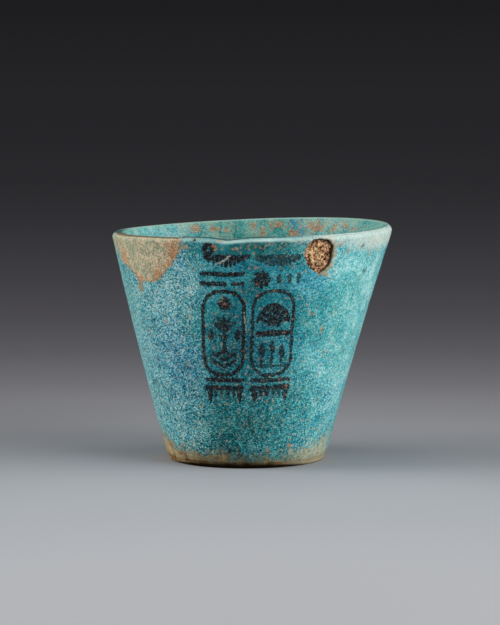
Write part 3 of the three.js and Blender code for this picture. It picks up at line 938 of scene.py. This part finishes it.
# How far each crystal leans to green or blue, then the colours that vary, from dark to light
green_cells = add(tree, MAP, [cell["Green"], 0.34, 0.14, 0.0, 0.5], SMOOTH)
green_drift = add(tree, MAP, [patch, 0.35, 0.65, 0.0, 0.25])
to_green = add(tree, MATH, [green_drift, green_cells])
to_green = add(tree, MATH, [to_green, field["green"]], CLAMPED)
blue_cells = add(tree, MAP, [cell["Green"], 0.64, 0.8], SMOOTH)
blue_drift = add(tree, MAP, [cloud, 0.45, 0.7, 0.3, 0.9])
blue_cells = add(tree, MATH, [blue_cells, blue_drift], "MULTIPLY")
to_blue = add(tree, MATH, [field["blue"], blue_cells], CLAMPED)
turquoise, greener, bluer, olive, rust, inner_rust, tan, paint, rusty, pale = (
    add(tree, RAMP, [pattern], {"stops": stops})
    for pattern, stops in (
        (light, [(0.0, "#001b1f"), (0.2, "#004249"), (0.35, "#006973"), (0.5, "#15909c"),
                 (0.65, "#42b2bc"), (0.8, "#7acfd4"), (1.0, "#d4efeb")]),
        (light, [(0.0, "#032b28"), (0.35, "#1d756d"), (0.55, "#4aa69b"), (0.75, "#80cac0"),
                 (1.0, "#d9ebe0")]),
        (light, [(0.0, "#001c2e"), (0.3, "#00506e"), (0.5, "#087fa2"), (0.7, "#36adca"),
                 (1.0, "#bfe6f0")]),
        (clump, [(0.3, "#39452f"), (0.5, "#777c5f"), (0.7, "#aba47f")]),
        (clump, [(0.3, "#6f5235"), (0.5, "#9a7c58"), (0.7, "#b9a383")]),
        (cell["Red"], [(0.0, "#6f5436"), (0.4, "#a4744e"), (0.75, "#c08a62"), (1.0, "#c9ab8c")]),
        (clump, [(0.3, "#85866c"), (0.5, "#a8a586"), (0.7, "#c4bc9f")]),
        (blur, [(0.35, "#0a0b10"), (0.52, "#18171e"), (0.64, "#36282a"), (0.74, "#8a5c3c")]),
        (cell["Red"], [(0.1, "#5e3424"), (0.5, "#a06650"), (0.9, "#cfa890")]),
        (cell["Red"], [(0.0, "#9cc3bc"), (0.4, "#d0ddd2"), (0.7, "#eae6da"), (1.0, "#e6c2a8")]),
    )
)
rust = layered(tree, rust, [(inner_rust, field["inside"], 0.85)])
outside = add(tree, MATH, [1.0, field["inside"]], "SUBTRACT")
highlight_line_wave = add(tree, MAP, [patch, 0.3, 0.7, 0.75, 1.1])
highlight_line_off = add(tree, MATH, [field["drop"], highlight_line_wave], "SUBTRACT")
highlight_line_off = add(tree, MATH, [highlight_line_off], "ABSOLUTE")
bare_share = add(tree, MAP, [bare_at, -0.4, 0.5, 0.0, 0.9], SMOOTH)
bare_colour, bare_grain = paste_look(tree, where)
body = layered(tree, turquoise, [
    (greener, to_green),
    (bluer, to_blue),
    # Lone white grains, then tan ones where the paste shows through
    ("#d5e4dd", [cell["Blue"], 0.95, 0.97, 0.0, 0.6], outside, field["grain"]),
    ("#9d9370", [clump, 0.6, 0.7, 0.0, 0.5], field["grain"]),
    # Olive where the glaze is thin over the foot, earth on the floor inside, and a film all over inside
    (olive, (patch, 0.35, 0.65, 0.3, 0.9), field["thin"]),
    ("#8a7450", [patch, 0.4, 0.6, 0.15, 0.7], field["dirt"]),
    ("#a89f80", (patch, 0.35, 0.65, 0.0, 0.42), field["inside"]),
    # Iron stains and worn tan places, broken by the crystals
    (rust, [rust_at, 0.3, 0.9, 0.0, 0.85]),
    (tan, [beige_at, 0.1, 0.9, 0.0, 0.8]),
    # The paint: soft in its edge, let through by pale grains, with rusty ones and scratches in it
    (paint, [paint_at, 0.2, -0.15], [cell["Blue"], 0.72, 0.9, 1.0, 0.6], field["boldness"]),
    (rusty, [grain_at, 0.25, -0.25, 0.0, 0.8]),
    ("#b9c4bd", [scratch_at, 0.1, -0.2, 0.0, 0.8]),
    # The lip's shoulder, pale from wear and painted highlight, its painted highlight lines, and its crest
    # line of painted shade
    (pale, field["pale"], (clump, 0.3, 0.7, 0.4, 1.0), [clump, 0.55, 0.65, 1.0, 0.5]),
    ("#bfdfd8", [highlight_line_off, 0.95, 0.0], field["light_lip"]),
    ("#b8d2bf", [field["drop"], 0.5, 0.1], field["far_lip"]),
    ("#1f4a4c", [field["drop"], 0.4, 0.1, 0.0, 0.8], field["dark_lip"]),
    # The paste where the glaze has gone, soil and painted shade low on the front, the pits darkened by their
    # depth, and the scar's edge darkened as painted shade
    (bare_colour, bare_share),
    ("#45402a", field["soil"]),
    ("#25130a", field["pit"]),
])
gloss = add(tree, MAP, [clump, 0.3, 0.7, 0.36, 0.56])
gloss = add(tree, MIX, {0: bare_share, 2: gloss, 3: PASTE_ROUGHNESS})
shine = add(tree, MAP, [field["pit"], 0.0, 1.0, 0.12, 0.0])
feed(tree, shader, {"Base Color": body, "Roughness": gloss, "IOR": GLAZE_IOR, "Specular IOR Level": shine})
bumps = add(tree, MIX, {0: bare_share, 2: speckle, 3: bare_grain})
relief(tree, shader, bumps, 0.08)
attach(glaze, "root")
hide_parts("glaze_coat")

# The rim fill
# A restorer's plaster, cast into the chipped rim, pared flush with the wall and lip, and toned to a
# dull tan. Orange-brown toning lies along its broken edge, thickest down both sides.

FILL_ANGLES = (-79.0, -25.0)
FILL_STEPS = (90.0, 60.0)
FILL_SEAM = 0.04
FILL_PARED = 0.35
RUST_PLACES = [
    (-11.2, 65.7, 1.9, 3.4), (-2.9, 60.1, 1.7, 1.1), (6.6, 62.0, 1.7, 1.3), (14.8, 69.2, 1.8, 3.2),
]
fill_finish, tree, shader, where = new_finish("toned_restoration_plaster")
body_rows = outline(
    [(0, 0, 0, 1), (FOOT_RADIUS, 0, 0, 30.0)] + skin(BARE_FOOT, 0.0, (0.5, 0.25, 0.8, 9.0))
)
fill = turned("fill", body_rows, FILL_ANGLES, FILL_STEPS, fill_finish)
cut(fill, chip_block("fill_shape", FILL_SEAM), "INTERSECT")
cone = points_of(fill)
drop = CUP_HEIGHT - cone[:, 2]
from_edge, across = chip_gap(cone)
right_side = unit((across - 4) / 4)
low_side = unit((62.5 - cone[:, 2]) / 2) * (1 - right_side)
rusty_at = [bell(across, x, wide) * bell(cone[:, 2], z, tall) for x, z, wide, tall in RUST_PLACES]
values = {
    "from_edge": from_edge * (1.5 - 0.75 * right_side + 0.6 * low_side), "drop": drop,
    "outside": 1 - insideness(cone), "rusty": np.sum(rusty_at, axis=0) * 1.3,
}
write(fill, values)
rough = 0.05 * (waves(cone * (1, 1, 0.4), 1.6, 2, 31.0) * 0.5 + 0.5)
cone = uneven(cone, rough)
lowered = FILL_PARED * unit(1 - drop / 3) * unit(from_edge / 1.2)
cone[:, :2] *= (outer_radius(cone[:, 2] - lowered) / outer_radius(cone[:, 2]))[:, None]
cone[:, 2] -= lowered
set_points(fill, handmade(cone))

# Toned plaster: matt, mottled tan and grey-green over 2 mm, with upright brush streaks 1 mm wide
field = fields(tree, values)
mottle = add(tree, NOISE, {"Vector": where, "Scale": 1 / (2.6 * MM), "Detail": 4.0, "Roughness": 0.6})
drawn_out = add(tree, "ShaderNodeMapping", {"Vector": where, "Scale": (1.0, 1.0, 0.25)})
streaks, fine_grain = (
    add(tree, NOISE, {"Vector": place, "Scale": 1 / (size * MM), "Detail": 2.0})
    for place, size in ((drawn_out, 0.9), (where, 0.55))
)
mixed = add(tree, MIX, {0: 0.14, 2: mottle, 3: streaks})
mixed = add(tree, MIX, {0: 0.5, 2: mixed, 3: fine_grain})
toned, rust = (
    add(tree, RAMP, [pattern], {"stops": stops})
    for pattern, stops in (
        (mixed, [(0.4, "#5a4f34"), (0.46, "#877f5c"), (0.51, "#aea584"), (0.56, "#c3b797"),
                 (0.63, "#dcd0b2")]),
        (fine_grain, [(0.35, "#83522d"), (0.5, "#b27f51"), (0.65, "#d9ab80")]),
    )
)
edge_wander = add(tree, MAP, [streaks, 0.35, 0.65, -1.8, 1.8])
rust_reach = add(tree, MATH, [field["from_edge"], edge_wander])
rust_share = add(tree, MAP, [rust_reach, 2.5, 0.5, 0.0, 0.85], SMOOTH)
patchy = add(tree, MAP, [streaks, 0.35, 0.6, 0.3])
rusty = add(tree, MATH, [field["rusty"], patchy], "MULTIPLY")
rust_share = add(tree, MATH, [rust_share, rusty], "MAXIMUM")
highlight_line_off = add(tree, MATH, [field["drop"], 0.7], "SUBTRACT")
highlight_line_off = add(tree, MATH, [highlight_line_off], "ABSOLUTE")
toned = layered(tree, toned, [
    ("#93a286", [mottle, 0.56, 0.4, 0.0, 0.6]),
    (rust, rust_share),
    ("#a2714a", [mottle, 0.58, 0.66, 0.0, 0.6]),
    # A painted highlight line along the lip's outer edge, and painted shade on the lip's top towards the
    # crest
    ("#c8bea2", [highlight_line_off, 0.26, 0.05, 0.0, 0.65], field["outside"]),
    ("#5f543a", [field["drop"], 0.5, 0.2, 0.0, 0.85]),
])
feed(tree, shader, {"Base Color": toned, "Roughness": 0.72})
relief(tree, shader, mixed, 0.2)
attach(fill, "root")
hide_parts("rim_fill")

# The scar's crust
# A hard lump of earth, iron and lime crystals, grown fast in the round scar beside the rim. Coarse
# angular grains stand in a dark bed, painted darker still as shade in its deep gaps and at its rim away from
# the light, and none stands prouder than the wall.

CRUST_SEAM = 0.06
CRUST_BED = 1.0
GRAIN_SPACING = 0.62
GRAIN_SIZE = 0.62
GRAIN_DENSITY = 6e6
GRAIN_SEED = 5
VOXEL = 0.11
crust_finish, tree, shader, where = new_finish("mineral_crust")

scatter, given = new_tree("grains over the bed", {
    "Bed": "Geometry", "Spacing": "Float", "Size": "Float", "Seed": "Int", "Finish": "Material",
}, "Crust")
facing = add(scatter, "GeometryNodeInputNormal")
out_of_wall = (math.sin(SCAR_AZIMUTH), -math.cos(SCAR_AZIMUTH), 0.0)
outwards = add(scatter, "ShaderNodeVectorMath", [facing, out_of_wall], "DOT_PRODUCT", "Value")
is_top = add(scatter, MATH, [outwards, 0.5], "GREATER_THAN")
spots = add(scatter, "GeometryNodeDistributePointsOnFaces", {
    "Mesh": given["Bed"], "Selection": is_top, "Distance Min": given["Spacing"], "Density Max": GRAIN_DENSITY,
    "Seed": given["Seed"],
}, {"distribute_method": "POISSON"})
lump = add(scatter, "GeometryNodeMeshIcoSphere", {"Radius": given["Size"], "Subdivisions": 1})
spin, uneven_size = (
    add(scatter, "FunctionNodeRandomValue", {0: least, 1: most, "Seed": given["Seed"]}, VECTOR)
    for least, most in (((0.0, 0.0, 0.0), (6.28, 6.28, 6.28)), ((0.45, 0.45, 0.6), (1.1, 1.1, 1.7)))
)
standing = add(scatter, "GeometryNodeInstanceOnPoints", {
    "Points": spots, "Instance": lump, "Rotation": spin, "Scale": uneven_size,
})
together = add(scatter, "GeometryNodeJoinGeometry", [given["Bed"]])
scatter.links.new(standing, together.node.inputs[0])
real = add(scatter, "GeometryNodeRealizeInstances", [together])
finished = add(scatter, "GeometryNodeSetMaterial", {0: real, "Material": given["Finish"]})
add(scatter, "NodeGroupOutput", [finished])

bottom = CRUST_SEAM - SCAR_DEPTH
crust = scar_block("crust", CRUST_SEAM, bottom, bottom + CRUST_BED)
crust.hide_render = False
with_tree(crust, scatter, {
    "Spacing": GRAIN_SPACING * MM, "Size": GRAIN_SIZE * MM, "Seed": GRAIN_SEED, "Finish": crust_finish,
})
fuse = crust.modifiers.new("fused", "REMESH")
fuse.mode = "VOXEL"
fuse.voxel_size = VOXEL * MM
plain(crust)
cone = points_of(crust)
lift = waves(cone, 2.2, 2, 41.0) * 0.45 + waves(cone, 0.9, 2, 42.0) * 0.28
set_points(crust, cone + np.array(out_of_wall) * lift[:, None])
cut(crust, scar_block("crust_shape", CRUST_SEAM, bottom, 0.25), "INTERSECT")
crust.data.materials.clear()
crust.data.materials.append(crust_finish)
cone = points_of(crust)
depth = (outer_radius(cone[:, 2]) - np.hypot(cone[:, 0], cone[:, 1])) / SCAR_DEPTH
across, up, rim_gap = by_scar_edge(cone)
away_from_light = np.maximum((0.8 * across + 0.6 * up) / SCAR_RADIUS + 0.45, 0.95 * up / SCAR_RADIUS)
values = {
    "depth": unit(depth), "shade": bell(rim_gap, 0, 0.8) * np.clip(away_from_light, 0.1, 1),
    "heart": bell(across, -0.9, 2.6) * bell(up, 0.5, 3.7),
}
write(crust, values)
set_points(crust, handmade(cone))

# Mineral crust: dull brown, pink and ochre grains, their gaps painted near-black as shade, and their palest
# cream grains painted glints
field = fields(tree, values)
hue, blotch, fine_grain = (
    add(tree, NOISE, {"Vector": where, "Scale": 1 / (size * MM), "Detail": detail, "Roughness": rough})
    for size, detail, rough in ((1.2, 2.0, 0.5), (2.4, 2.0, 0.5), (0.45, 3.0, 0.7))
)
mixed = add(tree, MIX, {0: 0.5, 2: hue, 3: fine_grain})
grains, golden = (
    add(tree, RAMP, [mixed], {"stops": stops})
    for stops in (
        [(0.4, "#26140c"), (0.45, "#7c5038"), (0.5, "#bf8f72"), (0.545, "#e6b98f"), (0.6, "#fae4c8")],
        [(0.41, "#4a2410"), (0.475, "#c58a50"), (0.54, "#ffe0ac")],
    )
)
painted_gap_shade = add(tree, MAP, [field["depth"], 0.36, 0.75, 0.0, 0.85], SMOOTH)
painted_gap_shade = add(tree, MATH, [painted_gap_shade, field["shade"]], "MAXIMUM")
grains = layered(tree, grains, [
    ("#c98f48", [hue, 0.5, 0.62, 0.0, 0.6]),
    ("#4a2713", [blotch, 0.48, 0.36, 0.0, 0.75]),
    (golden, field["heart"], 0.75),
    # Painted shade: near-black deep in the gaps and round the rim away from the light
    ("#200e05", painted_gap_shade),
])
feed(tree, shader, {"Base Color": grains, "Roughness": 0.8, "Specular IOR Level": 0.25})
relief(tree, shader, fine_grain, 0.2)
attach(crust, "root")
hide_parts("scar_crust")

# The blocks that only cut or shaped a piece go
for cutter in [o for o in bpy.data.objects if o.hide_render and o.name not in frame["nodes"]]:
    bpy.data.objects.remove(cutter)

# The studio
# A pale matt floor whose colour is painted darker away behind the cup as painted shade, its far part a
# painted dim grey glow for the camera alone, a wide soft lamp overhead and a softer one at each side, and a
# long lens a little above the cup's rim.

FLOOR_REACH = 30000.0
PAPER_MIDDLE = -0.25
PAPER_HALFWAY = 0.6
turns = np.linspace(0, math.tau, 65)[:-1]
ring = [(FLOOR_REACH * math.cos(t), FLOOR_REACH * math.sin(t), 0.0) for t in turns]
floor = made_of("floor", ring, [tuple(range(len(ring)))])
floor_finish, tree, shader, where = new_finish("matt_studio_paper")
from_middle = add(tree, "ShaderNodeMapping", {"Vector": where, "Location": (0.0, -PAPER_MIDDLE, 0.0)})
reach = add(tree, "ShaderNodeVectorMath", [from_middle], "LENGTH", out="Value")
whole = add(tree, MATH, [reach, PAPER_HALFWAY])
far = add(tree, MATH, [reach, whole], "DIVIDE")
# The paper's colour, painted darker with distance as painted shade
paper = add(tree, RAMP, [far], {"stops": [
    (0.0, "#b3b4b8"), (0.12, "#b4b6ba"), (0.215, "#acb0b4"), (0.27, "#a4a7ac"), (0.306, "#96999e"),
    (0.335, "#8d8f93"), (0.36, "#8c8d91"), (0.4, "#818186"), (0.435, "#737277"), (0.49, "#605f64"),
    (0.55, "#545257"), (0.62, "#4f4d53"), (1.0, "#4b4a4f"),
]})
camera_sees = add(tree, "ShaderNodeLightPath", out="Is Camera Ray")
# A painted glow of dim grey on the far floor, seen by the camera alone
painted_far_glow = add(tree, MAP, [far, 0.6, 0.86], SMOOTH)
painted_far_glow = add(tree, MATH, [painted_far_glow, camera_sees], "MULTIPLY")
feed(tree, shader, {
    "Base Color": paper, "Emission Strength": painted_far_glow, "Emission Color": "#202023", "Roughness": 0.9,
    "Specular IOR Level": 0.2,
})
floor.data.materials.append(floor_finish)

world = bpy.data.worlds.new("studio")
bpy.context.scene.world = world
world.use_nodes = True
sky = world.node_tree
seen = add(sky, "ShaderNodeLightPath").node.outputs
is_seen = seen["Is Camera Ray"]
for ray in ("Is Glossy Ray", "Is Transmission Ray"):
    is_seen = add(sky, MATH, [is_seen, seen[ray]], "MAXIMUM")
from_centre = add(sky, "ShaderNodeTexCoord", out="Generated")
upwards = add(sky, "ShaderNodeSeparateXYZ", [from_centre], out="Z")
stops = [(0.0, "#242426"), (0.016, "#202022"), (0.03, "#1d1d1f"), (0.2, "#19191b")]
fade = add(sky, RAMP, [upwards], {"stops": stops})
sky_colour = add(sky, MIX, {0: is_seen, 6: [0.05, 0.05, 0.052, 1], 7: fade}, COLOUR, out=2)
feed(sky, sky.nodes["Background"], {"Color": sky_colour})

# Each lamp's place and side in metres, and its power in watts
LAMPS = [
    ("overhead", (0.0, 0.0, 1.3), 1.0, 3.5),
    ("right_side", (1.2, 0.0, 0.45), 0.8, 8.5),
    ("right_front", (0.95, -0.75, 0.5), 0.8, 12.0),
    ("left_side", (-1.2, 0.0, 0.45), 0.8, 15.5),
    ("left_front", (-0.95, -0.75, 0.5), 0.8, 1.5),
]
CUP_MIDDLE = (0, 0, 0.04)
for name, spot, side, power in LAMPS:
    lamp = bpy.data.lights.new(name, "AREA")
    lamp.shape = "RECTANGLE"
    lamp.size = lamp.size_y = side
    lamp.energy = power
    holder = bpy.data.objects.new(name, lamp)
    holder.location = spot
    aim = Vector(CUP_MIDDLE) - Vector(spot)
    holder.rotation_euler = aim.to_track_quat("-Z", "Y").to_euler()
    bpy.context.scene.collection.objects.link(holder)

CAMERA_PLACE = (0.00113, -0.8281, 0.1218)
CAMERA_DIP = 5.189
camera = bpy.data.cameras.new("camera")
camera.lens = 150
camera.sensor_width = 36
camera.clip_start = 0.01
camera.clip_end = 100
tripod = bpy.data.objects.new("camera", camera)
tripod.location = CAMERA_PLACE
tripod.rotation_euler = (math.radians(90 - CAMERA_DIP), 0, 0)
bpy.context.scene.collection.objects.link(tripod)
bpy.context.scene.camera = tripod
bpy.context.scene.view_settings.view_transform = "Standard"
